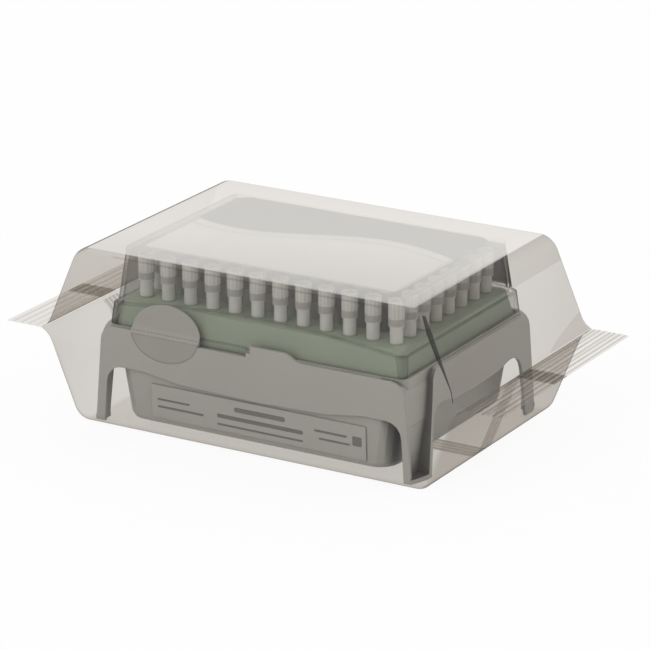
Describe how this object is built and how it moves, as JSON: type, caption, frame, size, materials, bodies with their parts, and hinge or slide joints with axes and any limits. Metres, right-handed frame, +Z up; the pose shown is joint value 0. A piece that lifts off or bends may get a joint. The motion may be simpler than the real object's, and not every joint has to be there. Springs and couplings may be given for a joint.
{
  "type": "box of pipette tips",
  "caption": "Clear lidded rack box of filter pipette tips on a green rack in a legged base, closed with a seal label and wrapped in a clear film pack with crimped end seals.",
  "frame": {"origin": "centre of the film pack's underside, where it rests", "axes": "+X along the twelve columns of tips to the right-hand end seal, +Y across the eight rows to the hinge side, +Z up"},
  "size_m": [0.195, 0.0944, 0.0639],
  "materials": {
    "film": "clear heat-sealed film, slightly warm grey",
    "base": "grey moulded polypropylene, smooth",
    "lid": "clear smoke-tinted moulded plastic",
    "rack": "soft green moulded plastic",
    "tip": "translucent natural polypropylene",
    "label": "pale grey label stock",
    "panel": "dark printed field, satin"
  },
  "bodies": {
    "root": {"film_wrap": "film", "base": "base", "lid": "lid", "rack": "rack", "lid_label": "panel", "seal_label": "label", "product_label": "label", "tip_a01": "tip", "tip_a02": "tip", "tip_a03": "tip", "tip_a04": "tip", "tip_a05": "tip", "tip_a06": "tip", "tip_a07": "tip", "tip_a08": "tip", "tip_a09": "tip", "tip_a10": "tip", "tip_a11": "tip", "tip_a12": "tip", "tip_b01": "tip", "tip_b12": "tip", "tip_c01": "tip", "tip_c12": "tip", "tip_d01": "tip", "tip_d12": "tip", "tip_e01": "tip", "tip_e12": "tip", "tip_f01": "tip", "tip_f12": "tip", "tip_g01": "tip", "tip_g12": "tip", "tip_h01": "tip", "tip_h02": "tip", "tip_h03": "tip", "tip_h04": "tip", "tip_h05": "tip", "tip_h06": "tip", "tip_h07": "tip", "tip_h08": "tip", "tip_h09": "tip", "tip_h10": "tip", "tip_h11": "tip", "tip_h12": "tip"}
  },
  "joints": []
}
